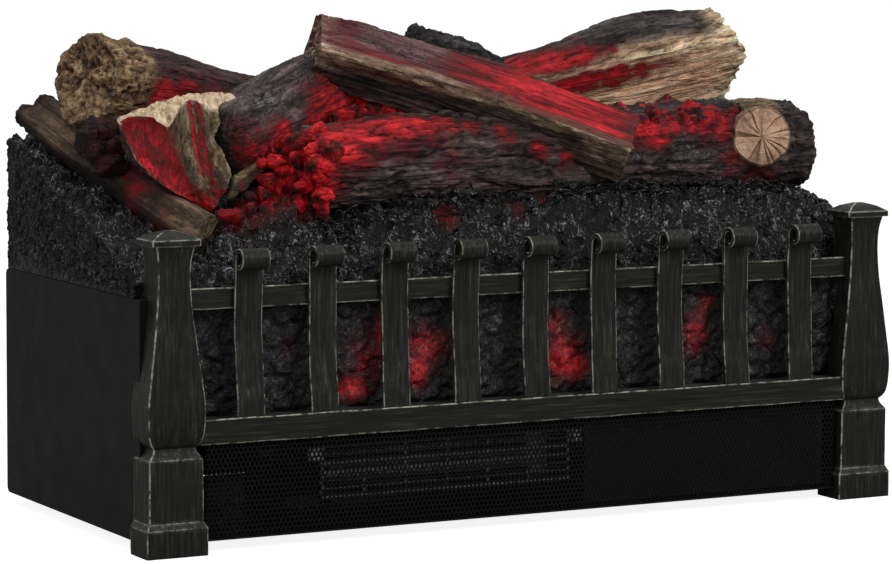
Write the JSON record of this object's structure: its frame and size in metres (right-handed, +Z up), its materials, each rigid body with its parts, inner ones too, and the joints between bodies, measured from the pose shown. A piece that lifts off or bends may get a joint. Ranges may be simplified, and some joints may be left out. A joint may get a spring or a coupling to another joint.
{
  "type": "electric log set",
  "caption": "Electric log set for a fireplace: painted logs on a glowing ember bed over a fan heater, behind a low fire basket of scrolled bars between square posts.",
  "frame": {"origin": "on the floor, under the middle of the object's box, which runs from the bars' scrolls to the case's back", "axes": "+X to the right as seen from the front and along the grate, +Y from the grate to the back of the case, +Z up"},
  "size_m": [0.521, 0.2332, 0.312],
  "materials": {
    "antique_black": "black with rubbed pewter streaks and worn edges",
    "charcoal_sheet": "matte charcoal powder coat",
    "black_mesh": "satin black",
    "zinc_sheet": "galvanised",
    "bright_screw": "zinc plated",
    "black_plastic": "fine grained black",
    "rubber": "matte black",
    "circuit_board": "green laminate",
    "char": "crinkled charcoal resin, lit red from behind in places",
    "bark": "cast resin painted as charred wood",
    "bronze": "sintered",
    "steel": "plain steel"
  },
  "bodies": {
    "case": {"left_post": "antique_black", "right_post": "antique_black", "bottom_rail": "antique_black", "top_rail": "antique_black", "grate_bar_1": "antique_black", "grate_bar_2": "antique_black", "grate_bar_3": "antique_black", "grate_bar_4": "antique_black", "grate_bar_5": "antique_black", "grate_bar_6": "antique_black", "grate_bar_7": "antique_black", "grate_bar_8": "antique_black", "grate_bar_9": "antique_black", "left_side_panel": "charcoal_sheet", "right_side_panel": "charcoal_sheet", "rear_panel": "charcoal_sheet", "base_pan": "charcoal_sheet", "mesh_grille": "black_mesh", "light_deck": "zinc_sheet", "heater_duct": "zinc_sheet", "fan_scroll": "zinc_sheet", "fan_end_left": "zinc_sheet", "fan_end_right": "zinc_sheet", "motor_bracket": "zinc_sheet", "rear_screw_1": "bright_screw", "rear_screw_2": "bright_screw", "rear_screw_3": "bright_screw", "rear_screw_4": "bright_screw", "guard_screw_left": "bright_screw", "guard_screw_right": "bright_screw", "thermal_cutout": "black_plastic", "control_box": "black_plastic", "switch_block": "black_plastic", "rear_foot_left": "rubber", "rear_foot_right": "rubber", "cord_gland": "rubber", "control_board": "circuit_board", "led_board_1": "circuit_board", "led_board_2": "circuit_board", "led_board_3": "circuit_board", "ember_bed": "char", "front_ember_panel": "char", "log_top": "bark", "log_front": "bark", "log_back_right": "bark", "log_back_left": "bark", "log_centre": "bark", "log_fork": "bark", "log_branch": "bark", "log_chip": "bark", "fan_bearing": "bronze", "outlet_guard": "steel", "heating_element": "steel", "motor_stator": "steel"},
    "fan": {"fan_wheel": "black_plastic", "fan_shaft": "steel", "motor_rotor": "steel"},
    "switch_power": {"switch_power": "black_plastic"},
    "switch_flame": {"switch_flame": "black_plastic"},
    "switch_heat": {"switch_heat": "black_plastic"}
  },
  "joints": [
    {"name": "fan_turn", "type": "hinge", "parent": "case", "child": "fan", "pos_m": [-0.0525, -0.0164, 0.042], "axis": [1, 0, 0], "continuous": true},
    {"name": "switch_power_tip", "type": "hinge", "parent": "case", "child": "switch_power", "pos_m": [0.1265, 0.1103, 0.105], "axis": [-1, 0, 0], "range_deg": [0, 20]},
    {"name": "switch_flame_tip", "type": "hinge", "parent": "case", "child": "switch_flame", "pos_m": [0.1445, 0.1103, 0.105], "axis": [-1, 0, 0], "range_deg": [0, 20]},
    {"name": "switch_heat_tip", "type": "hinge", "parent": "case", "child": "switch_heat", "pos_m": [0.1625, 0.1103, 0.105], "axis": [-1, 0, 0], "range_deg": [0, 20]}
  ]
}
